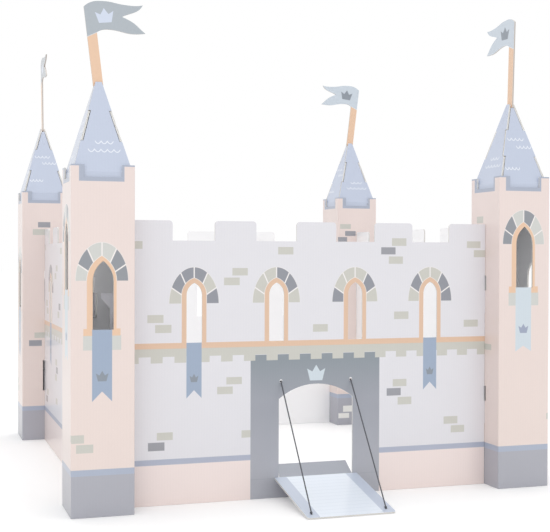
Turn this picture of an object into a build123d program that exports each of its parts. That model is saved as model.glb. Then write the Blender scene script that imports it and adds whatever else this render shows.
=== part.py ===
from build123d import *

import os
from math import asin, atan, atan2, cos, degrees, radians, sin, sqrt, tan

# Card castle: four folded square towers, four walls hooked into slots in the tower
# faces, finger-jointed roofs, card flags and a gate with a bridge on a cord.
# Millimetres, X right along the gate wall, Y away from the viewer, Z up.

os.makedirs("parts", exist_ok=True)

# Card and plan.
board = 2.0
tower_spacing = 500.0
tower_width = 67.0
tower_height = 367.5
fold_radius = 1.2

# Battlements of a tower.
notch_width = 39.4
notch_depth = 13.0

# Walls.
wall_height = 311.5
crenel_depth = 22.0
merlon_count = 5
merlon_round = 4.0
wall_end_play = 0.3

# Windows, all pointed, at shares of the height of the wall or the tower.
wall_window_width = 17.8
wall_window_sill = 0.569 * wall_height
wall_window_spring = 0.737 * wall_height
wall_window_rise = 13.5
wall_window_reach = 143.55
gate_window_count = 4
side_window_count = 3
tower_window_width = 22.0
tower_window_sill = 0.5322 * tower_height
tower_window_spring = 0.6699 * tower_height
tower_window_rise = 21.0
tower_window_step = 0.1116 * tower_height

# Slots in the tower faces and the tabs of the walls.
slot_length = 45.0
slot_bottoms = (72.5, 205.0)
slot_play = 0.3
slot_entry = 2.2
hook_drop = 17.5
hook_length = 31.0
hook_nose = 10.0
hook_catch_play = 0.7
tab_length = 25.0
tab_chamfer = 4.0

# Roof: a square pyramid of four panels, cut off for the flag. The lifts say how far
# each roof stands out of its tower, from the front left corner round by the front right.
roof_height = 109.4
eave_drop = 8.5
roof_lifts = (1.5, 0.0, 2.0, 7.0)
roof_play = 0.2
finger_breaks = (33.0, 65.5)
finger_play = 0.8
long_panel_top = 97.5
short_panel_top = 93.0
leg_width = 46.0
leg_length = 24.0
ridge_inset = 0.05

# Flag and pole, one piece of card. Each pole has its own length and lean, given
# in the same order as the lifts.
pole_width = 10.8
pole_extras = (-1.5, 16.0, 6.5, 18.0)
pole_tilts = (6.9, 2.5, 6.9, 6.9)
pole_rest = 0.05
tongue_width = 3.6
tongue_length = 14.0
flag_length = 58.5
flag_bottom = 54.0
flag_top = 86.2

# Gate and bridge.
gate_width = 90.0
gate_spring = 111.5
gate_rise = 16.0
bridge_height = 23.0
bridge_length = 109.0
bridge_round = 3.0
bridge_gap = 0.5
sill_play = 0.05
tail_angle = 40.0
tail_length = 19.0
tail_root_play = 1.0
tail_end_play = 3.0
crease_gap = 0.15

# Cord.
cord_diameter = 1.6
cord_spacing = 85.0
cord_hole = 3.0
cord_hole_lift = 19.7
cord_edge = 9.0
cord_side = 7.5
cord_behind = 2.6
knot_diameter = 3.4
stopper_diameter = 4.4
stopper_thickness = 1.1

# Sizes that follow from the ones above.
half_spacing = tower_spacing / 2
half_tower = tower_width / 2
wall_half = half_spacing - half_tower - wall_end_play
wall_outside = half_spacing + board / 2
module = 2 * wall_half / (2 * merlon_count - 1)
roof_eave = tower_height - eave_drop
eave_half = half_tower - board - roof_play
slope_length = sqrt(roof_height**2 + eave_half**2)
slope_y = eave_half / slope_length
slope_z = roof_height / slope_length
dihedral_sin = sqrt(1 - slope_y**4)
ridge_cos = slope_length / sqrt(slope_length**2 + eave_half**2)
finger_recess = (board / dihedral_sin + finger_play) / ridge_cos
hook_catch = wall_end_play + board + hook_catch_play
tab_height = slot_length - hook_drop
entry_width = board / 2 + slot_play + slot_entry
bridge_width = cord_spacing + 2 * cord_side
tail_root_width = gate_width - 2 * tail_root_play
tail_end_width = gate_width - 2 * tail_end_play
cord_hole_height = gate_spring + cord_hole_lift
deck_slope = asin(bridge_height / sqrt(bridge_length**2 + board**2)) - atan(board / bridge_length)
axis_y = -wall_outside - bridge_gap
tail_drop = board * cos(radians(tail_angle)) - crease_gap * sin(radians(tail_angle))
gate_sill = bridge_height - tail_drop - sill_play
front_reach = axis_y - bridge_length * cos(deck_slope)
centre_y = -(front_reach + half_spacing + half_tower) / 2


def pointed_outline(x, width, sill, spring, rise):
    """Draw a pointed opening: straight sides, then two arcs that meet above its middle."""
    half = width / 2
    beyond = (rise**2 - half**2) / (2 * half)
    radius = beyond + half
    turn = atan2(rise, beyond) / 2
    side = radius * cos(turn) - beyond
    lift = spring + radius * sin(turn)
    Polyline((x - half, spring), (x - half, sill), (x + half, sill), (x + half, spring))
    ThreePointArc((x + half, spring), (x + side, lift), (x, spring + rise))
    ThreePointArc((x, spring + rise), (x - side, lift), (x - half, spring))


def panel_side(breaks, owns, top):
    """List the points up the right edge of a roof panel, in its own sloping plane.

    Where the panel owns the ridge its edge is the ridge line; elsewhere it stands
    back by one board and the play. Each change of side is a straight step.
    """
    to_slope = slope_length / roof_height
    points = []
    levels = [0.0, *breaks, top]
    for index, own in enumerate(owns):
        shift = finger_play / 2 if own else -finger_play / 2
        low = levels[index] * to_slope + (shift if index > 0 else 0.0)
        high = levels[index + 1] * to_slope - (shift if index < len(owns) - 1 else 0.0)
        back = ridge_inset if own else finger_recess
        for along in (low, high):
            points.append((eave_half * (1 - along / slope_length) - back, along))
    return points


# Tower, standing at the origin with its gate-side face towards -Y.
with BuildPart() as tower:
    with BuildSketch():
        Rectangle(tower_width, tower_width)
    extrude(amount=tower_height)
    fillet(tower.edges().filter_by(Axis.Z), radius=fold_radius)
    with BuildSketch():
        Rectangle(tower_width - 2 * board, tower_width - 2 * board)
    extrude(amount=tower_height, mode=Mode.SUBTRACT)
    # One centred notch in each face leaves a merlon round every corner.
    with BuildSketch(Plane.XY.offset(tower_height - notch_depth)):
        Rectangle(notch_width, 2 * tower_width)
        Rectangle(2 * tower_width, notch_width)
    extrude(amount=2 * notch_depth, mode=Mode.SUBTRACT)
    # Two outer faces have a window, at two heights.
    with BuildSketch(Plane(origin=(0, -half_tower - 1, 0), x_dir=(1, 0, 0), z_dir=(0, -1, 0))):
        with BuildLine():
            pointed_outline(
                0, tower_window_width, tower_window_sill, tower_window_spring, tower_window_rise
            )
        make_face()
    extrude(amount=-board - 2, mode=Mode.SUBTRACT)
    with BuildSketch(Plane(origin=(-half_tower - 1, 0, 0), x_dir=(0, -1, 0), z_dir=(-1, 0, 0))):
        with BuildLine():
            pointed_outline(
                0,
                tower_window_width,
                tower_window_sill + tower_window_step,
                tower_window_spring + tower_window_step,
                tower_window_rise,
            )
        make_face()
    extrude(amount=-board - 2, mode=Mode.SUBTRACT)
    # Slots for the hooks of one wall. The lower one is wide over its whole length.
    with BuildSketch(Plane(origin=(half_tower + 1, 0, 0), x_dir=(0, 1, 0), z_dir=(1, 0, 0))):
        for bottom in slot_bottoms:
            with Locations((0, bottom + slot_length / 2)):
                Rectangle(board + 2 * slot_play, slot_length)
        with Locations((-entry_width / 2, slot_bottoms[0] + slot_length / 2)):
            Rectangle(entry_width, slot_length)
    extrude(amount=-board - 2, mode=Mode.SUBTRACT)
    # Slots for the plain tabs of the next wall, wide where the tab went in.
    with BuildSketch(Plane(origin=(0, half_tower + 1, 0), x_dir=(-1, 0, 0), z_dir=(0, 1, 0))):
        for bottom in slot_bottoms:
            with Locations((0, bottom + slot_length / 2)):
                Rectangle(board + 2 * slot_play, slot_length)
            with Locations((entry_width / 2, bottom + slot_length - hook_drop / 2)):
                Rectangle(entry_width, hook_drop)
    extrude(amount=-board - 2, mode=Mode.SUBTRACT)


# Walls stand on the gate side; the other three sides are turned copies.
wall_plane = Plane(origin=(0, -half_spacing + board / 2, 0), x_dir=(1, 0, 0), z_dir=(0, -1, 0))


def window_row(count):
    """List the middles of the windows of one wall, the outer two at the same places on all."""
    step = 2 * wall_window_reach / (count - 1)
    return [index * step - wall_window_reach for index in range(count)]


with BuildPart() as wall:
    with BuildSketch(wall_plane) as wall_sheet:
        with Locations((0, wall_height / 2)):
            Rectangle(2 * wall_half, wall_height)
        # Crenels between the merlons.
        for index in range(merlon_count - 1):
            with Locations((-wall_half + (2 * index + 1.5) * module, wall_height - crenel_depth / 2)):
                Rectangle(module, crenel_depth, mode=Mode.SUBTRACT)
        # Round the corners beside the crenels; the ends meet the towers square.
        corners = wall_sheet.vertices().filter_by_position(
            Axis.Y, wall_height - 0.1, wall_height + 0.1
        )
        fillet(corners.sort_by(Axis.X)[1:-1], radius=merlon_round)
    extrude(amount=board)
    # Hooks at one end, plain tabs at the other.
    with BuildSketch(wall_plane):
        for bottom in slot_bottoms:
            top = bottom + tab_height
            nose = hook_length - hook_nose
            with BuildLine():
                Polyline(
                    (-wall_half + board, top),
                    (-wall_half - hook_length, top),
                    (-wall_half - hook_length, top - hook_nose / 2),
                    (-wall_half - nose, top - 1.6 * hook_nose),
                    (-wall_half - nose, bottom - hook_drop),
                    (-wall_half - hook_catch, bottom - hook_drop),
                    (-wall_half - hook_catch, bottom),
                    (-wall_half + board, bottom),
                    close=True,
                )
            make_face()
            with BuildLine():
                Polyline(
                    (wall_half - board, top),
                    (wall_half + tab_length, top),
                    (wall_half + tab_length, bottom + tab_chamfer),
                    (wall_half + tab_length - tab_chamfer, bottom),
                    (wall_half - board, bottom),
                    close=True,
                )
            make_face()
    extrude(amount=board)

with BuildPart() as side_wall:
    add(wall.part)
    with BuildSketch(wall_plane):
        for place in window_row(side_window_count):
            with BuildLine():
                pointed_outline(
                    place, wall_window_width, wall_window_sill, wall_window_spring, wall_window_rise
                )
            make_face()
    extrude(amount=board, mode=Mode.SUBTRACT)

with BuildPart() as gate_wall:
    add(wall.part)
    with BuildSketch(wall_plane):
        for place in window_row(gate_window_count):
            with BuildLine():
                pointed_outline(
                    place, wall_window_width, wall_window_sill, wall_window_spring, wall_window_rise
                )
            make_face()
    extrude(amount=board, mode=Mode.SUBTRACT)
    with BuildSketch(wall_plane):
        with BuildLine():
            Polyline(
                (-gate_width / 2, gate_spring),
                (-gate_width / 2, gate_sill),
                (gate_width / 2, gate_sill),
                (gate_width / 2, gate_spring),
            )
            ThreePointArc(
                (gate_width / 2, gate_spring),
                (0, gate_spring + gate_rise),
                (-gate_width / 2, gate_spring),
            )
        make_face()
        with Locations((-cord_spacing / 2, cord_hole_height), (cord_spacing / 2, cord_hole_height)):
            Circle(cord_hole / 2)
    extrude(amount=board, mode=Mode.SUBTRACT)


# Roof panels: long ones own the ridge low and high, short ones own its middle.
roof_plane = Plane(
    origin=(0, -eave_half, roof_eave), x_dir=(1, 0, 0), z_dir=(0, -slope_z, slope_y)
)
leg_plane = Plane(origin=(0, -eave_half, roof_eave), x_dir=(1, 0, 0), z_dir=(0, -1, 0))

with BuildPart() as long_panel:
    with BuildSketch(roof_plane):
        with BuildLine():
            side = panel_side(finger_breaks, (True, False, True), long_panel_top)
            Polyline(*side, *[(-x, y) for x, y in reversed(side)], close=True)
        make_face()
    extrude(amount=-board)
    with BuildSketch(leg_plane):
        with Locations((0, -leg_length / 2)):
            Rectangle(leg_width, leg_length)
    extrude(amount=-board)

with BuildPart() as short_panel:
    with BuildSketch(roof_plane):
        with BuildLine():
            side = panel_side(finger_breaks, (False, True, False), short_panel_top)
            Polyline(*side, *[(-x, y) for x, y in reversed(side)], close=True)
        make_face()
    extrude(amount=-board)
    with BuildSketch(leg_plane):
        with Locations((0, -leg_length / 2)):
            Rectangle(leg_width, leg_length)
    extrude(amount=-board)


# Flag on its pole; a narrow tongue stands between the two long panels.
pole_half = pole_width / 2
tail_x = flag_length
deep = flag_top - flag_bottom


def flag_card(extra, tilt):
    """Draw a flag on a pole that is longer by the given amount and leans by the tilt."""
    rest = pole_rest + pole_half * sin(radians(tilt))
    low = flag_bottom + extra
    high = flag_top + extra
    plane = Plane(
        origin=(0, board / 2, roof_eave + short_panel_top + rest),
        x_dir=(cos(radians(tilt)), 0, sin(radians(tilt))),
        z_dir=(0, -1, 0),
    )
    with BuildPart() as card:
        with BuildSketch(plane):
            with BuildLine():
                Polyline(
                    (-pole_half, high),
                    (-pole_half, 0),
                    (-tongue_width / 2, 0),
                    (-tongue_width / 2, -tongue_length),
                    (tongue_width / 2, -tongue_length),
                    (tongue_width / 2, 0),
                    (pole_half, 0),
                    (pole_half, low + 0.127 * deep),
                )
                Spline(
                    (pole_half, low + 0.127 * deep),
                    (0.20 * tail_x, low + 0.199 * deep),
                    (0.34 * tail_x, low + 0.189 * deep),
                    (0.50 * tail_x, low + 0.124 * deep),
                    (0.68 * tail_x, low + 0.022 * deep),
                    (0.86 * tail_x, low - 0.016 * deep),
                    (0.99 * tail_x, low - 0.012 * deep),
                )
                Spline(
                    (0.99 * tail_x, low - 0.012 * deep),
                    (0.91 * tail_x, low + 0.130 * deep),
                    (0.81 * tail_x, low + 0.329 * deep),
                    (0.71 * tail_x, low + 0.463 * deep),
                    (0.59 * tail_x, low + 0.587 * deep),
                )
                Spline(
                    (0.59 * tail_x, low + 0.587 * deep),
                    (0.78 * tail_x, low + 0.686 * deep),
                    (0.90 * tail_x, low + 0.761 * deep),
                    (tail_x, low + 0.932 * deep),
                )
                Spline(
                    (tail_x, low + 0.932 * deep),
                    (0.89 * tail_x, high - 0.081 * deep),
                    (0.74 * tail_x, high - 0.050 * deep),
                    (0.56 * tail_x, high + 0.019 * deep),
                    (0.38 * tail_x, high + 0.112 * deep),
                    (0.23 * tail_x, high + 0.149 * deep),
                    (0.10 * tail_x, high + 0.152 * deep),
                    (0.0, high + 0.102 * deep),
                    (-pole_half, high),
                )
            make_face()
        extrude(amount=board)
    return card.part


# Bridge, lowered: the deck slopes from the crease at the gate to the ground.
deck_plane = Plane(
    origin=(0, axis_y, bridge_height), x_dir=(1, 0, 0), z_dir=(0, -sin(deck_slope), cos(deck_slope))
)
tail_plane = Plane(
    origin=(0, axis_y, bridge_height),
    x_dir=(1, 0, 0),
    z_dir=(0, -sin(radians(tail_angle)), cos(radians(tail_angle))),
)

with BuildPart() as bridge_deck:
    with BuildSketch(deck_plane) as deck_sheet:
        with Locations((0, -bridge_length / 2)):
            Rectangle(bridge_width, bridge_length)
        fillet(deck_sheet.vertices().sort_by(Axis.Y)[:2], radius=bridge_round)
        with Locations(
            (-cord_spacing / 2, cord_edge - bridge_length), (cord_spacing / 2, cord_edge - bridge_length)
        ):
            Circle(cord_hole / 2, mode=Mode.SUBTRACT)
    extrude(amount=-board)

with BuildPart() as bridge_tail:
    with BuildSketch(tail_plane):
        with BuildLine():
            Polyline(
                (-tail_root_width / 2, crease_gap),
                (tail_root_width / 2, crease_gap),
                (tail_end_width / 2, tail_length),
                (-tail_end_width / 2, tail_length),
                close=True,
            )
        make_face()
    extrude(amount=-board)


# Cord: from a stopper under the deck up to the gate wall, across behind it and back.
deck_reach = bridge_length - cord_edge
hole_y = axis_y - deck_reach * cos(deck_slope)
hole_z = bridge_height - deck_reach * sin(deck_slope)
under = board + stopper_thickness / 2
under_y = hole_y + under * sin(deck_slope)
under_z = hole_z - under * cos(deck_slope)
behind_y = -half_spacing + board / 2 + cord_behind
run_y = -wall_outside - hole_y
run_z = cord_hole_height - hole_z
run = sqrt(run_y**2 + run_z**2)
knot_lean = (run_z * cos(deck_slope) - run_y * sin(deck_slope)) / run
knot_rise = (knot_diameter / 2 + 0.02) / knot_lean
knot_y = hole_y + knot_rise * run_y / run
knot_z = hole_z + knot_rise * run_z / run
half_cord = cord_spacing / 2

with BuildPart() as bridge_cord:
    with BuildLine() as cord_path:
        Polyline(
            (-half_cord, under_y, under_z),
            (-half_cord, hole_y, hole_z),
            (-half_cord, -wall_outside, cord_hole_height),
            (-half_cord, behind_y, cord_hole_height),
            (half_cord, behind_y, cord_hole_height),
            (half_cord, -wall_outside, cord_hole_height),
            (half_cord, hole_y, hole_z),
            (half_cord, under_y, under_z),
        )
    with BuildSketch(Plane(origin=cord_path.line @ 0, z_dir=cord_path.line % 0)):
        Circle(cord_diameter / 2)
    sweep(transition=Transition.ROUND)
    # Knots on the deck and flat stoppers under it.
    with Locations((-half_cord, knot_y, knot_z), (half_cord, knot_y, knot_z)):
        Sphere(knot_diameter / 2)
    with BuildSketch(deck_plane.offset(-board - 0.02)):
        with Locations((-half_cord, -deck_reach), (half_cord, -deck_reach)):
            Circle(stopper_diameter / 2)
    extrude(amount=-stopper_thickness)


# Places. The four corners and the four walls are quarter turns about the middle.
middle = Location((0, centre_y, 0))
corner_names = ("front_left", "front_right", "back_right", "back_left")
wall_names = ("wall_front", "wall_right", "wall_back", "wall_left")
panel_turns = (
    ("front", 0, long_panel),
    ("right", 90, short_panel),
    ("back", 180, long_panel),
    ("left", 270, short_panel),
)

pieces = {}
for step, corner_name in enumerate(corner_names):
    corner = middle * Location((0, 0, 0), (0, 0, 90 * step)) * Location((-half_spacing, -half_spacing, 0))
    pieces["tower_" + corner_name] = corner * tower.part
    raised = corner * Location((0, 0, roof_lifts[step]))
    flag = flag_card(pole_extras[step], pole_tilts[step])
    pieces["flag_" + corner_name] = raised * flag
    for panel_name, turn, panel in panel_turns:
        turned = raised * Location((0, 0, 0), (0, 0, turn))
        pieces["roof_" + corner_name + "_" + panel_name] = turned * panel.part

for step, wall_name in enumerate(wall_names):
    sheet = gate_wall.part if step == 0 else side_wall.part
    pieces[wall_name] = middle * Location((0, 0, 0), (0, 0, 90 * step)) * sheet

pieces["bridge_deck"] = middle * bridge_deck.part
pieces["bridge_tail"] = middle * bridge_tail.part
pieces["bridge_cord"] = middle * bridge_cord.part

for name, piece in pieces.items():
    piece.label = name
    export_step(piece, "parts/" + name + ".step")
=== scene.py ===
"""Dresses the card castle: printed card, white cut edges, a twisted cord and soft studio light."""

import math

import bpy
import numpy as np
from mathutils import Matrix, Vector


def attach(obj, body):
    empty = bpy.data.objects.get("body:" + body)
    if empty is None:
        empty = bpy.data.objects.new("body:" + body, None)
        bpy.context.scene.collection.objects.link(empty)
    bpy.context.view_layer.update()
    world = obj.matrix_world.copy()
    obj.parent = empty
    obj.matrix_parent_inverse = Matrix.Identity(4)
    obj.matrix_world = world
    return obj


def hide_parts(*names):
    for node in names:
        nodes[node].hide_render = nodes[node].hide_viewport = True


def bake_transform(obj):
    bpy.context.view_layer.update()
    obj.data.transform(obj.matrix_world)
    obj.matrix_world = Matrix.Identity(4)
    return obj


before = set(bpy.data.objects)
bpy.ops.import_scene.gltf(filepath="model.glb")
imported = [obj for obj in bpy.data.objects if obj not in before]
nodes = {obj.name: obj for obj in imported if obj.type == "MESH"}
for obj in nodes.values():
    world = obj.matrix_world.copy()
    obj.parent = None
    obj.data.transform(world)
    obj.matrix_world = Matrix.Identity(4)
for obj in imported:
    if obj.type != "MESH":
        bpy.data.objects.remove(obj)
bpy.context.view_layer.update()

# Sizes and places in millimetres, in the castle's own plan, whose middle is at CASTLE_Y. Slopes are in
# radians.
CASTLE_Y = 37.475
HALF_SPACING = 250.0
HALF_TOWER = 33.5
BOARD = 2.0
FOLD = 1.2
FLUTE_PITCH = 3.2
WALL_FACE = HALF_SPACING + BOARD / 2
EAVE_Z = 359.0
EAVE_HALF = 31.3
ROOF_HEIGHT = 109.4
BRIDGE_GAP = 0.5
CREASE_Y = -WALL_FACE - BRIDGE_GAP
CREASE_Z = 23.0
DECK_SLOPE = math.radians(11.128)
DECK_REACH = 100.0
TAIL_SLOPE = math.radians(40)
CORD_X = 42.5
CORD_HOLE_Z = 131.2

# Each tower's side of the castle along X and Y, and how far it is turned, in degrees.
CORNERS = {
    "front_left": (-1, -1, 0),
    "front_right": (1, -1, 90),
    "back_right": (1, 1, 180),
    "back_left": (-1, 1, 270),
}
# How far each roof stands out of its tower.
LIFTS = {"front_left": 1.5, "front_right": 0.0, "back_right": 2.0, "back_left": 7.0}
# Each flag's extra length of pole, and its lean in degrees.
POLES = {
    "front_left": (-1.5, 6.9),
    "front_right": (16.0, 2.5),
    "back_right": (6.5, 6.9),
    "back_left": (18.0, 6.9),
}

# Colours, as they look on screen.
PINK_HIGH = (232, 216, 211)
PINK_LOW = (231, 215, 208)
WALL_PINK = (239, 224, 220)
WALL_GREY = (224, 223, 228)
PLINTH_GREY = (170, 171, 180)
STRIPE_BLUE = (172, 178, 196)
FOOT_BLUE = (169, 178, 196)
NOTCH_BLUE = (167, 175, 192)
BANNER_BLUE = (153, 169, 192)
BANNER_PALE = (205, 216, 224)
CROWN_DARK = (134, 143, 154)
CROWN_BLUE = (153, 162, 184)
PEACH = (230, 194, 164)
PEACH_BAND = (222, 188, 161)
STONE_LIGHT = (205, 206, 202)
STONE_DARK = (140, 144, 151)
WALL_STONE = (200, 199, 191)
WALL_STONE_DARK = (140, 143, 152)
BRICK_LIGHT = (200, 199, 191)
BRICK_DARK = (150, 151, 158)
FOOT_BRICK = (236, 236, 231)
JOINT_PALE = (240, 236, 234)
GATE_TOP = (135, 144, 152)
GATE_MIDDLE = (154, 157, 167)
GATE_FOOT = (168, 170, 179)
ROOF_BLUE = (189, 198, 217)
SCALLOP_WHITE = (236, 240, 247)
CLOTH_TEAL = (170, 178, 185)
CLOTH_PALE = (199, 209, 219)
EMBLEM_PALE = (206, 215, 232)
DECK_PALE = (230, 238, 248)
DECK_LINE = (214, 224, 236)
RAIL_BLUE = (192, 202, 219)
TAIL_GREY = (152, 156, 166)
CARD_WHITE = (250, 250, 251)
EDGE_PALE = (238, 238, 236)
# The cut edge's darker core: partly the board's own colour, partly painted shade in the flutes' hollows.
EDGE_CORE_AND_SHADE = (190, 186, 180)
FLAG_EDGE_PALE = (212, 206, 200)
FLAG_EDGE_CORE = (178, 168, 161)
YARN_DARK = (66, 68, 74)
YARN_LIGHT = (104, 106, 112)

# A crown's shape, in shares of its height and of half its width: how wide its foot is, how high its outer
# points are, and where the lines to those points start at its middle and how steeply they rise.
CROWN_FOOT = 0.68
CROWN_OUTER = 0.76
CROWN_START = 0.424
CROWN_RISE = 0.19 / 0.56

# The stones round an arch: the two rays on each side that part them, half the joint between two stones,
# how strong the pale joint is, how far it goes past the stones, and the gap to the window's frame.
LOW_RAY = math.radians(34)
HIGH_RAY = math.radians(65.5)
JOINT_HALF = 0.7
JOINT_SHARE = 0.85
JOINT_EDGE = 0.4
FRAME_GAP = 0.5


def tint(rgb):
    """Colour from screen values of 0 to 255 to linear light: the screen curve undone, channel by channel."""
    c = np.array(rgb, float) / 255
    linear = np.where(c <= 0.04045, c / 12.92, ((c + 0.055) / 1.055) ** 2.4)
    return (*linear, 1.0)


class Term:
    """A number that varies over a surface. It adds and scales like an ordinary number."""

    def __init__(self, page, socket):
        self.page = page
        self.socket = socket

    def __add__(self, other):
        return self.page.math("ADD", self, other)

    def __radd__(self, other):
        return self.page.math("ADD", other, self)

    def __sub__(self, other):
        return self.page.math("SUBTRACT", self, other)

    def __rsub__(self, other):
        return self.page.math("SUBTRACT", other, self)

    def __mul__(self, other):
        return self.page.math("MULTIPLY", self, other)

    def __rmul__(self, other):
        return self.page.math("MULTIPLY", other, self)

    def __truediv__(self, other):
        return self.page.math("DIVIDE", self, other)

    def __rtruediv__(self, other):
        return self.page.math("DIVIDE", other, self)

    def __neg__(self):
        return self.page.math("MULTIPLY", self, -1.0)

    def __abs__(self):
        return self.page.math("ABSOLUTE", self)


class Page:
    """One material, or the world, and the drawing on it. Lengths in the drawing are millimetres."""

    def __init__(self, name, shelf=bpy.data.materials):
        self.owner = shelf.new(name)
        self.owner.use_nodes = True
        self.tree = self.owner.node_tree
        self.tree.nodes.clear()

    def node(self, kind, settings=None, **values):
        """Adds any node: its settings first, then a value or a link for each socket. A socket is given by
        its name, with _ for each space, or by _ and its number."""
        made = self.tree.nodes.new("ShaderNode" + kind)
        for key, value in (settings or {}).items():
            setattr(made, key, value)
        for key, value in values.items():
            into = made.inputs[int(key[1:])] if key[0] == "_" else made.inputs[key.replace("_", " ")]
            if isinstance(value, Term):
                value = value.socket
            if isinstance(value, bpy.types.NodeSocket):
                self.tree.links.new(value, into)
            else:
                into.default_value = value
        return made

    def math(self, operation, *values, clamp=False):
        """One Math node on numbers or terms."""
        slots = {"_" + str(i): v for i, v in enumerate(values)}
        made = self.node("Math", {"operation": operation, "use_clamp": clamp}, **slots)
        return Term(self, made.outputs[0])

    def lowest(self, *values):
        """The least of the values: where distances are given, the shapes joined."""
        found = values[0]
        for value in values[1:]:
            found = self.math("MINIMUM", found, value)
        return found

    def highest(self, *values):
        """The largest of the values: where distances are given, what the shapes share."""
        found = values[0]
        for value in values[1:]:
            found = self.math("MAXIMUM", found, value)
        return found

    def length(self, u, v):
        """How far a point is from the origin: the root of the sum of the squares."""
        return self.math("SQRT", u * u + v * v)

    def place(self, centre=(0, 0, 0), turn=0.0):
        """Object coordinates in millimetres, moved so that centre is the origin, then turned back by turn
        degrees."""
        spot = self.node("TexCoord").outputs["Object"]
        a = math.radians(-turn)
        x, y, z = centre
        shift = (-(x * math.cos(a) - y * math.sin(a)), -(x * math.sin(a) + y * math.cos(a)), -z)
        moved = self.node(
            "Mapping", {"vector_type": "POINT"},
            Vector=spot, Location=shift, Rotation=(0, 0, a), Scale=(1000,) * 3
        )
        parts = self.node("SeparateXYZ", Vector=moved.outputs[0])
        self.spot = moved.outputs[0]
        return [Term(self, parts.outputs[i]) for i in range(3)]

    def ink(self, distance, soft=0.3):
        """1 inside a shape, 0 outside, from a distance that is negative inside, over a soft edge."""
        return self.math("MULTIPLY_ADD", distance, -1.0 / soft, 0.5, clamp=True)

    def box(self, u, v, left, right, low, high):
        """Distance to a rectangle: the larger of the distances past its middle in each direction."""
        across = abs(u - (left + right) / 2) - (right - left) / 2
        along = abs(v - (low + high) / 2) - (high - low) / 2
        return self.highest(across, along)

    def bricks(self, u, v, places):
        """Distance to rectangles, each given by its left, right, top and foot: the least of theirs."""
        return self.lowest(*[self.box(u, v, left, right, foot, top) for left, right, top, foot in places])

    def arch(self, u, v, half, spring, rise):
        """Distance to a pointed opening with no foot: two circle arcs of one radius, with straight sides
        under them."""
        beyond = (rise**2 - half**2) / (2 * half)
        return self.length(abs(u) + beyond, self.highest(v - spring, 0.0)) - (beyond + half)

    def crown(self, u, v, half, tall):
        """Distance to a plain crown: a foot narrower than its top, and three points, the middle one highest.
        Its rim is the higher of a line down from the middle point and a line up to the outer one."""
        side = abs(u)
        fall = side * (-tall / half) + tall
        rise = side * (CROWN_RISE * tall / half) + CROWN_START * tall
        rim = self.highest(fall, rise)
        slant = (1 - CROWN_FOOT) * half / (CROWN_OUTER * tall)
        flank = side - CROWN_FOOT * half - v * slant
        return self.highest(-v, v - rim, flank)

    def streamer(self, u, v, half, top, notch, tip):
        """Distance to a hanging banner: straight sides and a V cut out of its foot."""
        foot = notch - abs(u) * ((notch - tip) / half)
        return self.highest(abs(u) - half, v - top, foot - v)

    def ellipse(self, u, v, half, tall):
        """Rough distance to an ellipse round the origin: how far past 1 the share of its radius is, times
        the mean of its half width and height."""
        return (self.length(u / half, v / tall) - 1.0) * ((half + tall) / 2)

    def voussoirs(self, u, v, half, tall, frame_distance, darks):
        """Six stones round an arch: an ellipse's upper half, cut by five rays from its middle. Gives where
        there is a stone, and which of them are dark."""
        side = abs(u)
        low_ray = side * math.sin(LOW_RAY) - v * math.cos(LOW_RAY)
        high_ray = side * math.sin(HIGH_RAY) - v * math.cos(HIGH_RAY)
        gaps = self.highest(JOINT_HALF - abs(low_ray), JOINT_HALF - abs(high_ray), JOINT_HALF - side)
        stone = self.highest(self.ellipse(u, v, half, tall), -v, FRAME_GAP - frame_distance, gaps)
        past_low = self.ink(low_ray, 0.1)
        past_high = self.ink(high_ray, 0.1)
        one, two, three, four, five, six = darks
        left = past_low * (two - one) + past_high * (three - two) + one
        right = past_low * (five - six) + past_high * (four - five) + six
        to_right = self.ink(-u, 0.1)
        return self.ink(stone), left + to_right * (right - left)

    def voussoir_bed(self, u, v, half, tall):
        """Distance to the whole arch that the stones fill, for the pale joints between them."""
        return self.highest(self.ellipse(u, v, half, tall) - JOINT_EDGE, -v)

    def paint(self, under, mask, over):
        """Lays one colour over another where the mask is 1."""
        made = self.node("Mix", {"data_type": "RGBA", "clamp_factor": True}, _0=mask, _6=under, _7=over)
        return made.outputs[2]

    def grain(self, colour, amount, flutes=None):
        """Paper: the colour varied a little by fine and broad noise, and by painted flute shade if given."""
        fine = self.node("TexNoise", None, Vector=self.spot, Scale=0.55, Detail=4.0, Roughness=0.6)
        broad = self.node("TexNoise", None, Vector=self.spot, Scale=0.035, Detail=2.0)
        speckle = (Term(self, fine.outputs[0]) - 0.5) * amount
        level = speckle + (Term(self, broad.outputs[0]) - 0.5) * (amount * 0.8)
        if flutes is not None:
            # Painted shade: the colour goes a little lighter and darker with the flutes' ridges and hollows.
            level = level + flutes * 0.006
        factor = level + 1.0
        grey = self.node("CombineColor", None, _0=factor, _1=factor, _2=factor).outputs[0]
        settings = {"data_type": "RGBA", "blend_type": "MULTIPLY", "clamp_factor": True}
        made = self.node("Mix", settings, _0=1.0, _6=colour, _7=grey)
        return made.outputs[2]

    def finish(self, colour, roughness=0.36, relief=None, sheen=0.75):
        """The card's surface: a coated paper, smoother at a glance than from straight ahead."""
        fibre = self.node("TexNoise", None, Vector=self.spot, Scale=1.3, Detail=5.0, Roughness=0.65)
        height = Term(self, fibre.outputs[0]) * 0.05
        if relief is not None:
            height = height + relief
        bump = self.node("Bump", None, Height=height, Strength=0.2, Distance=0.001)
        made = self.node(
            "BsdfPrincipled", None, Base_Color=colour, Roughness=roughness, Specular_IOR_Level=sheen,
            Coat_Weight=0.5, Coat_Roughness=0.15, Normal=bump.outputs[0]
        )
        self.node("OutputMaterial", None, Surface=made.outputs[0])
        return self.owner


# Layers of the card: how thick its outer papers are, how thin the print is, how far the core swings, and
# half its thickness.
LINER = 0.3
SKIN = 0.06
CORE_SWING = 0.45
CORE_HALF = 0.22


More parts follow.
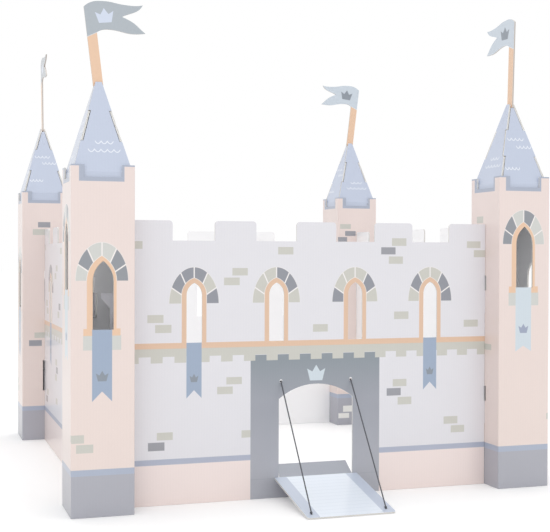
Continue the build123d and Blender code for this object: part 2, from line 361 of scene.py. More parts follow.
def cut_card(page, outside, depth, flutes):
    """Card in layers: print where depth from the outer face is nil, white paper on the inner face, and
    between them the cut edge, whose core waves with the flutes. The core's darker colour is partly the
    board's own and partly painted shade in the flutes' hollows."""
    middle = abs(depth - BOARD / 2 - flutes * CORE_SWING)
    # The core's colour is partly painted shade, standing for the dark hollows between the flutes.
    core = page.paint(tint(EDGE_CORE_AND_SHADE), page.ink(middle - CORE_HALF, 0.35), tint(EDGE_PALE))
    liner = page.ink(page.lowest(depth - LINER, (BOARD - LINER) - depth), 0.2)
    edge = page.paint(core, liner, tint(EDGE_PALE))
    colour = page.paint(edge, page.ink(depth - SKIN, SKIN), outside)
    return page.paint(colour, page.ink((BOARD - SKIN) - depth, SKIN), tint(CARD_WHITE))


def printed_card(page, colour, depth, along, grain, relief):
    """Finishes a printed card: flutes that show faintly through the print, as relief and painted shade,
    paper grain, cut edges and the coated surface. along runs across the flutes."""
    flutes = page.math("SINE", along * (2 * math.pi / FLUTE_PITCH))
    colour = page.grain(colour, grain, flutes)
    colour = cut_card(page, colour, depth, flutes)
    return page.finish(colour, relief=flutes * relief)


# A tower's print. Heights are above the floor, and the parts round a window lie a little left of the
# middle of their face. On face b the window's parts are HIGH_STEP higher, with a longer banner.
TOWER_PLINTH = 43.5
TOWER_STRIPE = 50.0
PINK_FADE = 330.0
NOTCH_HALF = 23.75
NOTCH_FOOT = 350.2
NOTCH_TOP = 365.9
HIGH_STEP = 41.0
OPENING_LEFT = 1.55
TOWER_OPENING = (11.0, 246.2, 21.0)
TOWER_BORDER = 4.55
TOWER_FRAME_FOOT = 192.0
TOWER_SILL = (-20.7, 18.2, 189.3, 196.7)
SILL_BLOCKS = [(-21.0, -11.4, 190.0, 174.3), (9.2, 19.0, 190.0, 174.3)]
ARCH_LEFT = 1.3
TOWER_ARCH_FOOT = 246.7
TOWER_ARCH = (27.5, 39.8)
TOWER_DARKS_A = (0, 1, 0, 0, 1, 1)
TOWER_DARKS_B = (1, 1, 0, 1, 0, 0)
BANNER_LEFT = 1.1
TOWER_BANNER_HALF = 10.5
TOWER_BANNER_TOP = 196.0
TOWER_BANNER_NOTCH = 131.2
TOWER_BANNER_TIP = 120.6
LONG_NOTCH = 4.5
LONG_TIP = 0.5
CROWN_LEFT = 1.0
TOWER_CROWN_FOOT = 141.8
TOWER_CROWN = (6.6, 10.9)

# Bricks on the towers, by face: left, right, top and foot of each.
CORNER_BRICK = (-33.6, -19.9, 86.5, 77.9)
LOW_BRICK = (-28.2, -10.3, 76.3, 67.5)
WRAPPED_BRICK = (30.7, 34.5, 86.7, 79.4)
PATCH = (0.0, 16.0, 168.6, 161.6)
TOWER_BRICKS = {
    "front_left": {"a": [CORNER_BRICK, LOW_BRICK], "b": [WRAPPED_BRICK]},
    "front_right": {
        "a": [CORNER_BRICK, LOW_BRICK],
        "b": [WRAPPED_BRICK],
        "d": [(-19.5, -4.3, 321.3, 313.2)],
    },
    "back_right": {"a": [CORNER_BRICK, LOW_BRICK], "d": [(-29.7, -11.0, 324.8, 317.0)]},
    "back_left": {
        "a": [CORNER_BRICK, LOW_BRICK],
        "c": [(-18.3, 0.5, 311.8, 303.1), (-15.8, 3.2, 158.8, 150.8)],
    },
}
TOWER_DARK_BRICKS = {
    "back_right": {"d": [(-20.9, -2.5, 313.6, 305.7), (-34.0, -17.4, 303.8, 296.4)]},
    "back_left": {"c": [(-10.7, 7.4, 322.2, 314.3), (-23.8, -5.1, 147.5, 138.9)]},
}
TOWER_FOOT_BRICKS = {"back_right": {"d": [(-23.4, -6.4, 31.0, 21.0), (-31.4, -12.7, 19.0, 11.0)]}}


def tower_print(corner):
    """The print that wraps a tower. u runs to the right along each face, seen from outside, and the faces
    are a, the low window's, b, the high window's, and c and d, which the walls meet."""
    side_x, side_y, turn = CORNERS[corner]
    page = Page("tower_" + corner)
    x, y, z = page.place((side_x * HALF_SPACING, side_y * HALF_SPACING + CASTLE_Y, 0), turn)
    across = abs(x) - (HALF_TOWER - FOLD)
    along = abs(y) - (HALF_TOWER - FOLD)
    round_fold = page.length(page.highest(across, 0.0), page.highest(along, 0.0))
    depth = FOLD - round_fold - page.lowest(page.highest(across, along), 0.0)
    lengthwise = page.math("GREATER_THAN", abs(y), abs(x))
    u = lengthwise * (-(page.math("SIGN", y) * x)) + (1 - lengthwise) * (page.math("SIGN", x) * y)
    near = page.math("GREATER_THAN", 0.0, y)
    left = page.math("GREATER_THAN", 0.0, x)
    faces = {
        "a": lengthwise * near,
        "b": (1 - lengthwise) * left,
        "c": (1 - lengthwise) * (1 - left),
        "d": lengthwise * (1 - near),
    }
    b = faces["b"]
    outer = faces["a"] + b
    v = z - b * HIGH_STEP

    fade = page.math("MULTIPLY", z, 1 / PINK_FADE, clamp=True)
    colour = page.paint(tint(PINK_LOW), fade, tint(PINK_HIGH))
    notch = page.highest(abs(u + OPENING_LEFT) - NOTCH_HALF, NOTCH_FOOT - z)
    colour = page.paint(colour, page.ink(page.lowest(notch, NOTCH_TOP - z)), tint(NOTCH_BLUE))
    colour = page.paint(colour, page.ink(z - TOWER_STRIPE), tint(FOOT_BLUE))
    colour = page.paint(colour, page.ink(z - TOWER_PLINTH), tint(PLINTH_GREY))

    colour = page.paint(colour, page.ink(page.bricks(u, v, SILL_BLOCKS)) * outer, tint(STONE_LIGHT))
    border = page.arch(u + OPENING_LEFT, v, *TOWER_OPENING) - TOWER_BORDER
    darks = [low + b * (high - low) for low, high in zip(TOWER_DARKS_A, TOWER_DARKS_B)]
    arch_u = u + ARCH_LEFT
    arch_v = v - TOWER_ARCH_FOOT
    stone, dark = page.voussoirs(arch_u, arch_v, *TOWER_ARCH, border, darks)
    joint = page.voussoir_bed(arch_u, arch_v, *TOWER_ARCH)
    colour = page.paint(colour, page.ink(joint) * outer * JOINT_SHARE, tint(JOINT_PALE))
    colour = page.paint(colour, stone * outer, page.paint(tint(STONE_LIGHT), dark, tint(STONE_DARK)))
    window_frame = page.lowest(page.highest(border, TOWER_FRAME_FOOT - v), page.box(u, v, *TOWER_SILL))
    colour = page.paint(colour, page.ink(window_frame) * outer, tint(PEACH))
    banner_notch = TOWER_BANNER_NOTCH - b * LONG_NOTCH
    banner_tip = TOWER_BANNER_TIP - b * LONG_TIP
    banner = page.streamer(u + BANNER_LEFT, v, TOWER_BANNER_HALF, TOWER_BANNER_TOP, banner_notch, banner_tip)
    cloth = page.paint(tint(BANNER_BLUE), b, tint(BANNER_PALE))
    colour = page.paint(colour, page.ink(banner) * outer, cloth)
    crown = page.crown(u + CROWN_LEFT, v - TOWER_CROWN_FOOT, *TOWER_CROWN)
    colour = page.paint(colour, page.ink(crown) * outer, page.paint(tint(CROWN_DARK), b, tint(CROWN_BLUE)))

    tables = ((TOWER_BRICKS, BRICK_LIGHT), (TOWER_DARK_BRICKS, BRICK_DARK), (TOWER_FOOT_BRICKS, FOOT_BRICK))
    for table, brick_colour in tables:
        for face, places in table.get(corner, {}).items():
            mask = page.ink(page.bricks(u, z, places)) * faces[face]
            colour = page.paint(colour, mask, tint(brick_colour))
    colour = page.paint(colour, page.ink(page.bricks(u, z, [PATCH])) * faces["d"], tint(BRICK_LIGHT))
    return printed_card(page, colour, depth, u, grain=0.03, relief=0.012)


# A wall's print. Heights are above the floor, and u is to the right of the wall's middle.
WALL_PLINTH = 44.2
WALL_STRIPE = 50.4
SURROUND_HALF = 78.5
SURROUND_TOP = 162.0
TOOTH_PITCH = 26.55
TOOTH_HALF = 6.65
TOOTH_FOOT = 155.6
COURSE_FOOT = 162.4
COURSE_TOP = 171.5
BAND_MIDDLE = 174.3
BAND_HALF = 3.1
WINDOW_REACH = 143.55
WINDOW_LEFT = 0.3
WALL_OPENING = (8.9, 229.5, 13.5)
WALL_BORDER = 5.1
WALL_FRAME_FOOT = 174.0
WALL_ARCH_FOOT = 220.6
WALL_ARCH = (28.0, 39.6)
WALL_BANNER = (8.6, 177.4, 125.0, 116.0)
WALL_CROWN_FOOT = 133.8
WALL_CROWN = (5.0, 9.2)
GATE_CROWN_FOOT = 131.2
GATE_CROWN = (11.0, 17.9)
GATE_CREASE_Z = 22.0
LINE_HALF = 0.3
LIP_LIFT = 0.8
LIP_RADIUS = 1.6
# The gate's surround gets darker from DARK_FROM upwards and lighter from LIGHT_FROM downwards, each over
# its own height.
DARK_FROM = 110.25
DARK_OVER = 45.0
LIGHT_FROM = 96.0
LIGHT_OVER = 60.0
# Which of the six stones round each window are dark.
WINDOW_DARKS = ((0, 1, 1, 1, 0, 1), (0, 0, 0, 1, 1, 0), (1, 0, 0, 0, 1, 0), (0, 1, 0, 0, 1, 1))
SIDE_WINDOW_DARKS = (WINDOW_DARKS[0], WINDOW_DARKS[1], WINDOW_DARKS[3])

# Bricks on every wall, on the gate wall alone and on the others alone: left, right, top and foot of each.
WALL_BRICKS = [
    (-211.0, -201.7, 288.6, 280.3), (-196.2, -178.3, 208.3, 199.6), (-187.6, -169.4, 197.4, 188.6),
    (-46.3, -28.1, 283.1, 274.7), (93.9, 112.4, 294.0, 285.1), (90.0, 108.0, 272.7, 264.2),
    (95.6, 113.2, 129.4, 120.9), (102.0, 119.6, 108.3, 99.5), (191.7, 209.9, 291.0, 283.1),
    (201.0, 217.0, 280.5, 272.1), (187.9, 206.8, 197.4, 189.1), (161.9, 180.2, 83.0, 74.2),
    (171.4, 189.2, 72.0, 63.6), (-185.6, -167.7, 79.7, 71.3),
]
WALL_DARK_BRICKS = [(80.3, 98.5, 283.4, 275.1), (87.9, 105.9, 119.0, 110.3), (-195.4, -177.0, 69.1, 60.0)]
GATE_WALL_BRICKS = [
    (-100.0, -82.1, 259.4, 251.1), (-109.7, -91.5, 248.8, 240.3), (-106.7, -88.7, 138.0, 130.0),
    (-117.3, -99.3, 127.6, 119.4), (-4.1, 14.0, 195.2, 186.7), (97.0, 115.4, 208.4, 199.6),
    (-89.0, -77.0, 78.0, 69.8),
]
SIDE_WALL_BRICKS = [
    (-89.0, -71.0, 259.4, 251.1), (-102.0, -84.0, 248.8, 240.3), (-71.0, -53.0, 197.4, 188.6),
    (-93.0, -75.0, 131.0, 122.5), (-96.0, -78.0, 110.0, 101.3), (62.0, 80.4, 208.4, 199.6),
    (-89.0, -71.0, 78.0, 69.8),
]
SIDE_WALL_DARK_BRICKS = [(-60.0, -42.0, 208.4, 199.6), (-86.0, -68.0, 120.7, 112.0)]


def gate_surround(page, colour, u, z):
    """Lays the dark surround of the gate over a wall, a little darker at its top and lighter at its foot."""
    high = page.math("MULTIPLY_ADD", z, 1 / DARK_OVER, -DARK_FROM / DARK_OVER, clamp=True)
    low = page.math("MULTIPLY_ADD", z, -1 / LIGHT_OVER, LIGHT_FROM / LIGHT_OVER, clamp=True)
    shade = page.paint(page.paint(tint(GATE_MIDDLE), high, tint(GATE_TOP)), low, tint(GATE_FOOT))
    return page.paint(colour, page.ink(page.highest(abs(u) - SURROUND_HALF, z - SURROUND_TOP)), shade)


def gate_marks(page, colour, u, z):
    """Lays the crown over the gate, the faint line of the bridge's crease and the pale lips of the cord's
    holes."""
    crown = page.crown(u, z - GATE_CROWN_FOOT, *GATE_CROWN)
    colour = page.paint(colour, page.ink(crown), tint(BANNER_PALE))
    crease = page.highest(abs(z - GATE_CREASE_Z) - LINE_HALF, abs(u) - SURROUND_HALF)
    colour = page.paint(colour, page.ink(crease) * 0.35, tint(CROWN_DARK))
    lip = page.length(abs(u) - CORD_X, z - CORD_HOLE_Z - LIP_LIFT) - LIP_RADIUS
    return page.paint(colour, page.ink(lip), tint(CARD_WHITE))


def wall_print(name, turn, has_gate):
    """The print on a wall, seen from outside: windows in peach frames on a band, a toothed course, banners
    and scattered bricks over a pink plinth, and on the gate wall a dark surround with a crown."""
    page = Page(name)
    u, y, z = page.place((0, CASTLE_Y, 0), turn)
    depth = y + WALL_FACE
    bricks = WALL_BRICKS + (GATE_WALL_BRICKS if has_gate else SIDE_WALL_BRICKS)
    dark_bricks = WALL_DARK_BRICKS + ([] if has_gate else SIDE_WALL_DARK_BRICKS)
    windows = WINDOW_DARKS if has_gate else SIDE_WINDOW_DARKS

    colour = page.paint(tint(WALL_GREY), page.ink(page.bricks(u, z, bricks)), tint(BRICK_LIGHT))
    colour = page.paint(colour, page.ink(page.bricks(u, z, dark_bricks)), tint(BRICK_DARK))
    colour = page.paint(colour, page.ink(z - WALL_STRIPE), tint(STRIPE_BLUE))
    colour = page.paint(colour, page.ink(z - WALL_PLINTH), tint(WALL_PINK))
    if has_gate:
        colour = gate_surround(page, colour, u, z)
    beat = page.math("ROUND", u / TOOTH_PITCH)
    teeth = page.highest(abs(u - beat * TOOTH_PITCH) - TOOTH_HALF, TOOTH_FOOT - z)
    course = page.highest(page.lowest(COURSE_FOOT - z, teeth), z - COURSE_TOP)
    colour = page.paint(colour, page.ink(course), tint(BRICK_LIGHT))
    colour = page.paint(colour, page.ink(abs(z - BAND_MIDDLE) - BAND_HALF), tint(PEACH_BAND))

    for index, darks in enumerate(windows):
        across = u - (index * (2 * WINDOW_REACH / (len(windows) - 1)) - WINDOW_REACH - WINDOW_LEFT)
        border = page.arch(across, z, *WALL_OPENING) - WALL_BORDER
        stone, dark = page.voussoirs(across, z - WALL_ARCH_FOOT, *WALL_ARCH, border, darks)
        joint = page.voussoir_bed(across, z - WALL_ARCH_FOOT, *WALL_ARCH)
        colour = page.paint(colour, page.ink(joint) * JOINT_SHARE, tint(JOINT_PALE))
        colour = page.paint(colour, stone, page.paint(tint(WALL_STONE), dark, tint(WALL_STONE_DARK)))
        colour = page.paint(colour, page.ink(page.highest(border, WALL_FRAME_FOOT - z)), tint(PEACH_BAND))
        if index in (0, len(windows) - 1):
            colour = page.paint(colour, page.ink(page.streamer(across, z, *WALL_BANNER)), tint(BANNER_BLUE))
            crown = page.crown(across, z - WALL_CROWN_FOOT, *WALL_CROWN)
            colour = page.paint(colour, page.ink(crown), tint(CROWN_DARK))
    if has_gate:
        colour = gate_marks(page, colour, u, z)
    return printed_card(page, colour, depth, u, grain=0.025, relief=0.012)


# Rows of scallops on a roof panel: height with the roof right down, left end, right end, number of bowls.
SAG = 2.8
SCALLOP_HALF = 0.5
LONG_ROWS = [(390.2, -7.0, 12.6, 3), (381.3, -14.7, 19.5, 5)]
SHORT_ROWS = [(412.8, -13.3, 8.6, 4), (403.4, -2.7, 17.6, 4), (377.0, -21.6, -2.3, 4)]
PANELS = (
    ("front", 0, LONG_ROWS),
    ("right", 90, SHORT_ROWS),
    ("back", 180, LONG_ROWS),
    ("left", 270, SHORT_ROWS),
)


def scallop_row(page, u, z, height, left, right, count):
    """Distance to a row of bowls: a line that hangs by SAG times the size of a sine, its upright distance
    divided by the root of 1 plus its slope squared."""
    turns = (u - left) * (math.pi * count / (right - left))
    sag = abs(page.math("SINE", turns)) * SAG
    slope = page.math("COSINE", turns) * (SAG * math.pi * count / (right - left))
    off = abs(z - height - SAG / 2 + sag) / page.math("SQRT", slope * slope + 1.0)
    return page.highest(off - SCALLOP_HALF, abs(u - (left + right) / 2) - (right - left) / 2)


def roof_print(name, corner, turn, rows):
    """The print on a roof panel: slate blue with short rows of white scallops."""
    side_x, side_y, corner_turn = CORNERS[corner]
    page = Page(name)
    place = (side_x * HALF_SPACING, side_y * HALF_SPACING + CASTLE_Y, LIFTS[corner])
    u, y, z = page.place(place, corner_turn + turn)
    reach = page.lowest(EAVE_HALF, (EAVE_Z + ROOF_HEIGHT - z) * (EAVE_HALF / ROOF_HEIGHT))
    lines = page.lowest(*[scallop_row(page, u, z, *row) for row in rows])
    colour = page.paint(tint(ROOF_BLUE), page.ink(lines) * 0.78, tint(SCALLOP_WHITE))
    return printed_card(page, colour, reach + y, u, grain=0.02, relief=0.01)


# A flag's print, measured from the pole's foot: the slanting line between cloth and pole, and the crown.
FLAG_FOOT_Z = 452.05
POLE_HALF = 5.4
CLOTH_FOOT = 54.2
CLOTH_SLANT = 0.36
POLE_EDGE = 6.6
SEAM_HALF = 0.35
FLAG_CROWN_U = 15.7
FLAG_CROWN_V = 67.9
FLAG_CROWN = (10.0, 15.4)


def flag_print(name, corner, cloth, emblem):
    """A flag printed on both sides: cloth above a slanting line, a peach pole under it, and a crown."""
    side_x, side_y, turn = CORNERS[corner]
    extra, tilt = POLES[corner]
    page = Page(name)
    lean = math.radians(tilt)
    base = FLAG_FOOT_Z + LIFTS[corner] + POLE_HALF * math.sin(lean)
    x, y, z = page.place((side_x * HALF_SPACING, side_y * HALF_SPACING + CASTLE_Y, base), turn)
    u = x * math.cos(lean) + z * math.sin(lean)
    v = z * math.cos(lean) - x * math.sin(lean) - extra
    foot = v - CLOTH_FOOT - (u + POLE_HALF) * CLOTH_SLANT
    seam = page.highest(abs(foot) - SEAM_HALF, u - POLE_EDGE)
    pole = page.highest(foot, u - POLE_EDGE) + SEAM_HALF
    crown = page.crown(u - FLAG_CROWN_U, v - FLAG_CROWN_V, *FLAG_CROWN)
    colour = page.paint(tint(cloth), page.ink(seam) * 0.5, tint(CARD_WHITE))
    colour = page.paint(colour, page.ink(pole), tint(PEACH))
    colour = page.paint(colour, page.ink(crown), tint(emblem))
    colour = page.grain(colour, 0.03)
    depth = BOARD / 2 - abs(y)
    core = page.ink(0.5 - abs(depth - 1.0), 0.4)
    edge = page.paint(tint(FLAG_EDGE_CORE), core, tint(FLAG_EDGE_PALE))
    return page.finish(page.paint(edge, page.ink(depth - SKIN, SKIN), colour))


PLANK = 8.4
RAIL_INNER = 36.0


def deck_print():
    """The bridge deck: pale planks between blue rails, measured down the slope from the crease."""
    page = Page("bridge_deck")
    x, y, z = page.place((0, CREASE_Y + CASTLE_Y, CREASE_Z))
    v = -(y * math.cos(DECK_SLOPE)) - z * math.sin(DECK_SLOPE)
    depth = y * math.sin(DECK_SLOPE) - z * math.cos(DECK_SLOPE)
    beat = page.math("ROUND", v / PLANK)
    line = abs(v - beat * PLANK) - LINE_HALF
    colour = page.paint(tint(DECK_PALE), page.ink(line, 0.4) * 0.8, tint(DECK_LINE))
    colour = page.paint(colour, page.ink(RAIL_INNER - abs(x)), tint(RAIL_BLUE))
    return printed_card(page, colour, depth, x, grain=0.02, relief=0.01)


def tail_print():
    """The tail behind the crease, plain grey on top."""
    page = Page("bridge_tail")
    x, y, z = page.place((0, CREASE_Y + CASTLE_Y, CREASE_Z))
    depth = y * math.sin(TAIL_SLOPE) - z * math.cos(TAIL_SLOPE)
    return printed_card(page, tint(TAIL_GREY), depth, x, grain=0.03, relief=0.01)


def cord_finish():
    """Dark yarn whose fibres, a fine noise, are lighter where they stand out: partly the yarn's own tone
    and partly a painted highlight on the raised fibres.
    """
    page = Page("cord_yarn")
    page.place()
    fibre = page.node("TexNoise", None, Vector=page.spot, Scale=3.0, Detail=3.0)
    amount = Term(page, fibre.outputs[0])
    # Partly painted highlight: the noise that raises the fibres also lightens them.
    colour = page.paint(tint(YARN_DARK), amount, tint(YARN_LIGHT))
    return page.finish(colour, roughness=0.85, relief=amount * 0.1, sheen=0.2)


def dress(node, material):
    """Gives a CAD node one material all over."""
    mesh = nodes[node].data
    mesh.materials.clear()
    mesh.materials.append(material)


for corner in CORNERS:
    dress("tower_" + corner, tower_print(corner))
    for panel, turn, rows in PANELS:
        name = "roof_" + corner + "_" + panel
        dress(name, roof_print(name, corner, turn, rows))
    pale = corner in ("front_right", "back_right")
    cloth = CLOTH_PALE if pale else CLOTH_TEAL
    emblem = CROWN_DARK if pale else EMBLEM_PALE
    dress("flag_" + corner, flag_print("flag_" + corner, corner, cloth, emblem))
for name, turn in (("wall_front", 0), ("wall_right", 90), ("wall_back", 180), ("wall_left", 270)):
    dress(name, wall_print(name, turn, name == "wall_front"))
dress("bridge_deck", deck_print())
dress("bridge_tail", tail_print())

# The cord in millimetres: how far under the deck it starts, how far from deck and wall it bends, how far
# behind the wall it runs, and where its knots and stoppers are.
UNDER_DECK = 0.55
FIRST_BEND = 9.6
BEND = 4.6
BEHIND_WALL = 2.6
KNOT_RISE = 1.806
STOPPER_UNDER = 0.6

# The cord in metres: its strands, the step between its points, its knots and its stoppers.
STRAND_LAY = 0.0052
STRAND_OFFSET = 0.00037
STRAND_RADIUS = 0.00043
STEP = 0.0008
KNOT_SCALE = 0.00033
KNOT_RADIUS = 0.00066
STOPPER_START = 0.0004
STOPPER_GROWTH = 0.0011
STOPPER_RADIUS = 0.0005

# Sides of each tube, and the share of a run, from the deck's hole, up to the point deck_side.
TUBE_SIDES = 8
FIRM_SHARE = 0.05


def metres(points):
    """Points of the castle's plan, from millimetres to metres in the frame."""
    return [(x / 1000, (y + CASTLE_Y) / 1000, z / 1000) for x, y, z in points]


hole_y = CREASE_Y - DECK_REACH * math.cos(DECK_SLOPE)
hole_z = CREASE_Z - DECK_REACH * math.sin(DECK_SLOPE)
run = np.array([0, -WALL_FACE - hole_y, CORD_HOLE_Z - hole_z])
run_length = float(np.linalg.norm(run))
along = run / run_length
behind_y = -WALL_FACE + BOARD + BEHIND_WALL


def up_side(x):
    """Route points of one side: under the deck, through its hole, straight to the wall and through that."""
    base = np.array([x, hole_y, hole_z])
    under = BOARD + UNDER_DECK
    return [
        (x, hole_y + under * math.sin(DECK_SLOPE), hole_z - under * math.cos(DECK_SLOPE)),
        tuple(base),
        tuple(base + along * FIRST_BEND),
        tuple(base + along * (run_length - BEND)),
        (x, -WALL_FACE, CORD_HOLE_Z),
        (x, behind_y, CORD_HOLE_Z),
    ]


behind = [(-CORD_X + BEND, behind_y, CORD_HOLE_Z), (CORD_X - BEND, behind_y, CORD_HOLE_Z)]
route = metres(up_side(-CORD_X) + behind + up_side(CORD_X)[::-1])


def centreline(points, name):
    """The points of a smooth spline through the route, evenly spaced: each new point is where the length
    along the spline reaches the next step. Gives the length up to each point too."""
    curve = bpy.data.curves.new(name, "CURVE")
    curve.dimensions = "3D"
    curve.resolution_u = 24
    spline = curve.splines.new("NURBS")
    spline.points.add(len(points) - 1)
    for knot, point in zip(spline.points, points):
        knot.co = (*point, 1)
    spline.order_u = 3
    spline.use_endpoint_u = True
    holder = bpy.data.objects.new(name, curve)
    bpy.context.scene.collection.objects.link(holder)
    bpy.context.view_layer.update()
    line = bpy.data.meshes.new_from_object(holder.evaluated_get(bpy.context.evaluated_depsgraph_get()))
    found = np.zeros(len(line.vertices) * 3)
    line.vertices.foreach_get("co", found)
    found = found.reshape(-1, 3)
    bpy.data.objects.remove(holder)
    bpy.data.meshes.remove(line)
    steps = np.linalg.norm(np.diff(found, axis=0), axis=1)
    found = found[np.concatenate(([True], steps > 1e-7))]
    length = np.concatenate(([0], np.cumsum(np.linalg.norm(np.diff(found, axis=0), axis=1))))
    even = np.linspace(0, length[-1], int(length[-1] / STEP) + 1)
    return np.stack([np.interp(even, length, found[:, i]) for i in range(3)], axis=1), even


def frames(path):
    """Two directions across the path at each point: the first is carried along the path by taking away its
    part along the new direction, the second is the cross product of the path's direction and the first."""
    tangent = np.gradient(path, axis=0)
    tangent /= np.linalg.norm(tangent, axis=1)[:, None]
    first = np.zeros_like(path)
    side = np.array([1.0, 0, 0]) if abs(tangent[0][0]) < 0.9 else np.array([0, 1.0, 0])
    for i, t in enumerate(tangent):
        side = side - t * (side @ t)
        side /= np.linalg.norm(side)
        first[i] = side
    return first, np.cross(tangent, first)


def tube(path, radius):
    """Points and faces of a closed tube, a circle carried along the path: each point is the path's, plus
    the radius times the cosine of its angle in the first direction and the sine in the second. The ends
    are flat."""
    first, second = frames(path)
    angle = np.arange(TUBE_SIDES) * (2 * math.pi / TUBE_SIDES)
    cosine, sine = np.cos(angle)[None, :, None], np.sin(angle)[None, :, None]
    ring = cosine * first[:, None, :] + sine * second[:, None, :]
    points = (path[:, None, :] + ring * radius).reshape(-1, 3)
    row = np.arange(len(path) - 1)[:, None] * TUBE_SIDES
    column = np.arange(TUBE_SIDES)[None, :]
    after = (column + 1) % TUBE_SIDES
    corners = [row + column, row + after, row + TUBE_SIDES + after, row + TUBE_SIDES + column]
    faces = np.stack(corners, axis=2).reshape(-1, 4)
    caps = [list(range(TUBE_SIDES))[::-1], list(range(len(points) - TUBE_SIDES, len(points)))]
    return points, faces.tolist() + caps


def piece(name, parts, material):
    """One object from several lists of points and faces."""
    points, faces, base = [], [], 0
    for found, polygons in parts:
        points.append(found)
        faces += [[base + i for i in polygon] for polygon in polygons]
        base += len(found)
    mesh = bpy.data.meshes.new(name)
    mesh.from_pydata(np.concatenate(points).tolist(), [], faces)
    mesh.shade_smooth()
    mesh.materials.append(material)
    made = bpy.data.objects.new(name, mesh)
    bpy.context.scene.collection.objects.link(made)
    return made


yarn = cord_finish()
line, travelled = centreline(route, "cord_route")
first, second = frames(line)
# Each strand winds round the route once in every STRAND_LAY, a third of a turn from the next strand.
strands = []
for strand in range(3):
    twist = travelled / STRAND_LAY * 2 * math.pi + strand * 2 * math.pi / 3
    offset = np.cos(twist)[:, None] * first + np.sin(twist)[:, None] * second
    strands.append(tube(line + offset * STRAND_OFFSET, STRAND_RADIUS))
cord = piece("cord", strands, yarn)
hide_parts("bridge_cord")


def knot_at(x):
    """A pulled overhand knot: a tube along the trefoil (sin t + 2 sin 2t, cos t - 2 cos 2t, -sin 3t), made
    small."""
    t = np.linspace(0, 2 * math.pi, 97)[:-1]
    trefoil = [np.sin(t) + 2 * np.sin(2 * t), np.cos(t) - 2 * np.cos(2 * t), -np.sin(3 * t)]
    loop = np.stack(trefoil, axis=1) * KNOT_SCALE
    loop = np.concatenate([loop, loop[:1]])
    middle = metres([(x, hole_y + along[1] * KNOT_RISE, hole_z + along[2] * KNOT_RISE)])[0]
    return tube(loop + np.array(middle), KNOT_RADIUS)


def stopper_at(x):
    """A flattened coil of the cord's end: a spiral of two turns, whose radius grows evenly with its angle,
    in a plane under the deck and tilted with it."""
    t = np.linspace(0, 4 * math.pi, 73)
    reach = STOPPER_START + STOPPER_GROWTH * t / t[-1]
    flat = np.stack([np.cos(t) * reach, np.sin(t) * reach, np.zeros_like(t)], axis=1)
    cosine, sine = math.cos(DECK_SLOPE), math.sin(DECK_SLOPE)
    tilt = np.array([[1, 0, 0], [0, cosine, -sine], [0, sine, cosine]])
    under = BOARD + STOPPER_UNDER
    middle = metres([(x, hole_y + under * sine, hole_z - under * cosine)])[0]
    return tube(flat @ tilt.T + np.array(middle), STOPPER_RADIUS)


for side, x in (("left", -CORD_X), ("right", CORD_X)):
    tied = piece("cord_knot_" + side, [knot_at(x), stopper_at(x)], yarn)
    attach(tied, "bridge")
    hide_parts("bridge_cord")
wall_side = metres([(0, -WALL_FACE, CORD_HOLE_Z)])[0]
deck_side = metres([np.array([0, hole_y, hole_z]) + along * (FIRM_SHARE * run_length)])[0]
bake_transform(cord)

# The camera, as fitted to the photograph: its focal length and the middle of its view in pixels, its
# place in metres and its angles in degrees.
PHOTO_WIDTH = 550
PHOTO_HEIGHT = 532
FOCAL_PIXELS = 1081.16
VIEW_MIDDLE = (250.76, 268.83)
CAMERA_PLACE = (-0.4434, -1.40292 + CASTLE_Y / 1000, 0.27282)
CAMERA_YAW = 17.57
CAMERA_PITCH = -0.68
CAMERA_ROLL = 0.15
SENSOR = 36


def look(position, yaw, pitch, roll):
    """Camera matrix: forward from yaw and pitch, right level and square to it, then both turned by roll."""
    yaw, pitch, roll = (math.radians(a) for a in (yaw, pitch, roll))
    forward = np.array([math.sin(yaw) * math.cos(pitch), math.cos(yaw) * math.cos(pitch), math.sin(pitch)])
    right = np.array([math.cos(yaw), -math.sin(yaw), 0])
    up = np.cross(right, forward)
    matrix = np.eye(4)
    matrix[:3, 0] = right * math.cos(roll) + up * math.sin(roll)
    matrix[:3, 1] = up * math.cos(roll) - right * math.sin(roll)
    matrix[:3, 2] = -forward
    matrix[:3, 3] = position
    return Matrix(matrix.tolist())


scene = bpy.context.scene
lens = bpy.data.cameras.new("camera")
lens.sensor_width = SENSOR
lens.lens = FOCAL_PIXELS * SENSOR / PHOTO_WIDTH
lens.shift_x = (PHOTO_WIDTH / 2 - VIEW_MIDDLE[0]) / PHOTO_WIDTH
lens.shift_y = (VIEW_MIDDLE[1] - PHOTO_HEIGHT / 2) / PHOTO_WIDTH
lens.clip_end = 50
camera = bpy.data.objects.new("camera", lens)
camera.matrix_world = look(CAMERA_PLACE, CAMERA_YAW, CAMERA_PITCH, CAMERA_ROLL)
scene.collection.objects.link(camera)
scene.camera = camera

# The floor, in metres, what it adds to its own light near the castle and far from it, and, in
# millimetres, where that starts to change and over what distance.
FLOOR_HALF = 12
FLOOR_FRONT = -6
FLOOR_BACK = 18
FLOOR_Z = -0.0002
GLOW_NEAR = (0.12, 0.12, 0.12, 1)
GLOW_FAR = (0.19, 0.19, 0.19, 1)
GLOW_FROM = 1200
GLOW_OVER = 3000
WHITE = (1, 1, 1, 1)


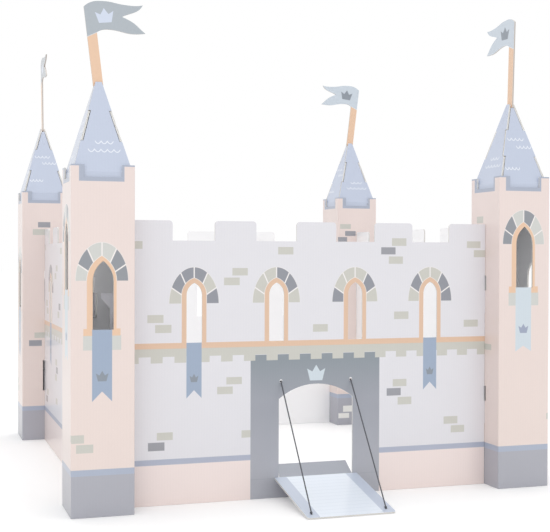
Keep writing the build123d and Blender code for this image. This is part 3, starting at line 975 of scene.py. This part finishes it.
def floor_paper():
    """White floor that keeps the castle's shadow. For the camera it glows a little, more with distance,
    so that it runs into the background."""
    paper = Page("floor")
    rays = paper.node("LightPath")
    lit = paper.node("BsdfDiffuse", None, Color=(0.9, 0.9, 0.9, 1))
    x, y, _ = paper.place()
    far = paper.length(x, y) * (1 / GLOW_OVER) - GLOW_FROM / GLOW_OVER
    glow = paper.node("Emission", None, Color=paper.paint(GLOW_NEAR, far, GLOW_FAR), Strength=1.0)
    both = paper.node("AddShader", None, _0=lit.outputs[0], _1=glow.outputs[0])
    seen = paper.node(
        "MixShader", None, _0=rays.outputs["Is Camera Ray"], _1=lit.outputs[0], _2=both.outputs[0]
    )
    paper.node("OutputMaterial", None, Surface=seen.outputs[0])
    return paper.owner


ground = bpy.data.meshes.new("floor")
edges_x = (-FLOOR_HALF, FLOOR_HALF, FLOOR_HALF, -FLOOR_HALF)
edges_y = (FLOOR_FRONT, FLOOR_FRONT, FLOOR_BACK, FLOOR_BACK)
ground.from_pydata([(x, y, FLOOR_Z) for x, y in zip(edges_x, edges_y)], [], [(0, 1, 2, 3)])
ground.materials.append(floor_paper())
floor = bpy.data.objects.new("floor", ground)
scene.collection.objects.link(floor)


def studio():
    """The world: an even light a little under white, and plain white where the camera, a reflection or glass
    sees it."""
    sky = Page("studio", bpy.data.worlds)
    rays = sky.node("LightPath")
    kinds = ("Is Camera Ray", "Is Glossy Ray", "Is Transmission Ray")
    shown = sky.highest(*[Term(sky, rays.outputs[kind]) for kind in kinds])
    plain = sky.node("Background", None, Color=WHITE, Strength=0.92)
    white = sky.node("Background", None, Color=WHITE, Strength=1.0)
    either = sky.node("MixShader", None, _0=shown, _1=plain.outputs[0], _2=white.outputs[0])
    sky.node("OutputWorld", None, Surface=either.outputs[0])
    return sky.owner


def softbox(name, position, target, size, power):
    """A square lamp at position that faces target."""
    lamp = bpy.data.lights.new(name, "AREA")
    lamp.shape = "SQUARE"
    lamp.size = size
    lamp.energy = power
    made = bpy.data.objects.new(name, lamp)
    made.location = position
    made.rotation_mode = "QUATERNION"
    made.rotation_quaternion = (Vector(target) - Vector(position)).to_track_quat("-Z", "Y")
    scene.collection.objects.link(made)


scene.world = studio()
softbox("key", (-1.1, -2.6, 2.0), (0, 0, 0.2), 1.7, 12.2)
softbox("top", (0.1, 0.3, 2.6), (0, 0.04, 0), 2.0, 15.5)

scene.view_settings.view_transform = "Standard"
scene.cycles.max_bounces = 16
scene.cycles.diffuse_bounces = 10
